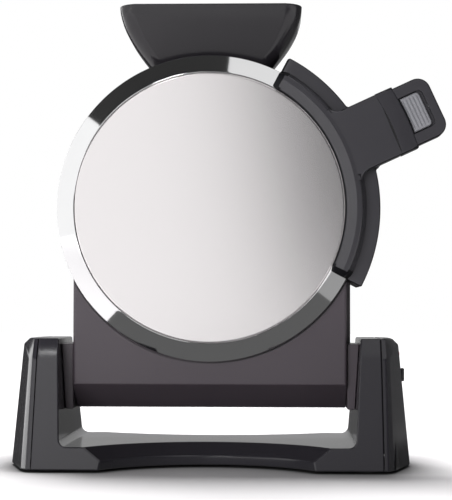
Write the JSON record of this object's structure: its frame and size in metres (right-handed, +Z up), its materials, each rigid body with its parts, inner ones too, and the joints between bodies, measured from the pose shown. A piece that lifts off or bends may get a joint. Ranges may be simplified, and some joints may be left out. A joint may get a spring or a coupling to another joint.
{
  "type": "belgian waffle maker",
  "caption": "Upright waffle maker: a round two-part head with a pouring spout and a latched side handle, folding forward on a low base with two towers.",
  "frame": {"origin": "the middle of the fifth foot's underside, on the floor under the middle of the base, in the plane where the two halves of the head meet and in the head's centre plane", "axes": "+Z up, -Y out of the front with the bracket and the button, +X to the right seen from the front"},
  "size_m": [0.3412, 0.1567, 0.3617],
  "materials": {
    "base_plastic": "fine satin moulding",
    "housing_plastic": "fine satin moulding",
    "handle_plastic": "satin",
    "button_plastic": "satin",
    "rubber": "matte",
    "bright_steel": "polished",
    "brushed_steel": "fine brushed",
    "plain_steel": "plain",
    "coated_aluminium": "dark release coating",
    "bare_aluminium": "plain",
    "ceramic": "matte",
    "red_lens": "clear tinted",
    "green_lens": "clear tinted"
  },
  "bodies": {
    "base": {"base_shell": "base_plastic", "left_side_cover": "base_plastic", "right_side_cover": "base_plastic", "base_bottom_cover": "base_plastic", "bottom_screw_1": "plain_steel", "bottom_screw_2": "plain_steel", "bottom_screw_3": "plain_steel", "bottom_screw_4": "plain_steel", "foot_1": "rubber", "foot_2": "rubber", "foot_3": "rubber", "foot_4": "rubber", "foot_5": "rubber", "hinge_pin_left": "plain_steel", "hinge_pin_right": "plain_steel", "left_ear_screw_1": "plain_steel", "left_ear_screw_2": "plain_steel", "right_ear_screw_1": "plain_steel", "right_ear_screw_2": "plain_steel", "cord_gland": "rubber", "temperature_control_unit": "base_plastic", "power_light_lens": "red_lens", "ready_light_lens": "green_lens", "rear_housing": "housing_plastic", "rear_bezel_ring": "bright_steel", "rear_cover_plate": "brushed_steel", "rear_cooking_plate": "coated_aluminium", "rear_plate_rim": "coated_aluminium", "rear_plate_screw_1": "plain_steel", "rear_plate_screw_2": "plain_steel", "rear_plate_screw_3": "plain_steel", "rear_plate_screw_4": "plain_steel", "rear_heating_element": "plain_steel", "rear_heat_shield": "bare_aluminium", "rear_thermostat": "ceramic", "thermal_fuse": "ceramic", "pour_spout": "housing_plastic", "rear_handle_bracket": "handle_plastic", "latch_catch": "plain_steel"},
    "front_half": {"front_housing": "housing_plastic", "front_bezel_ring": "bright_steel", "front_cover_plate": "brushed_steel", "front_cooking_plate": "coated_aluminium", "front_plate_rim": "coated_aluminium", "front_plate_screw_1": "plain_steel", "front_plate_screw_2": "plain_steel", "front_plate_screw_3": "plain_steel", "front_plate_screw_4": "plain_steel", "front_heating_element": "plain_steel", "front_heat_shield": "bare_aluminium", "front_handle": "handle_plastic", "handle_back_cover": "handle_plastic", "latch_spring": "plain_steel"},
    "latch": {"latch_button": "button_plastic", "latch_hook": "plain_steel"},
    "knob": {"temperature_knob": "handle_plastic"}
  },
  "joints": [
    {"name": "front_half_hinge", "type": "hinge", "parent": "base", "child": "front_half", "pos_m": [0, 0, 0.057], "axis": [1, 0, 0], "range_deg": [0, 90]},
    {"name": "latch_button_slide", "type": "slide", "parent": "front_half", "child": "latch", "axis": [0.9063, 0, 0.4226], "range_m": [0, 0.0024], "stiffness_N_per_m": 400, "springref_m": -0.003, "deforming": ["latch_spring"]},
    {"name": "temperature_knob_slide", "type": "slide", "parent": "base", "child": "knob", "axis": [0, 1, 0], "range_m": [-0.01, 0.01]}
  ]
}
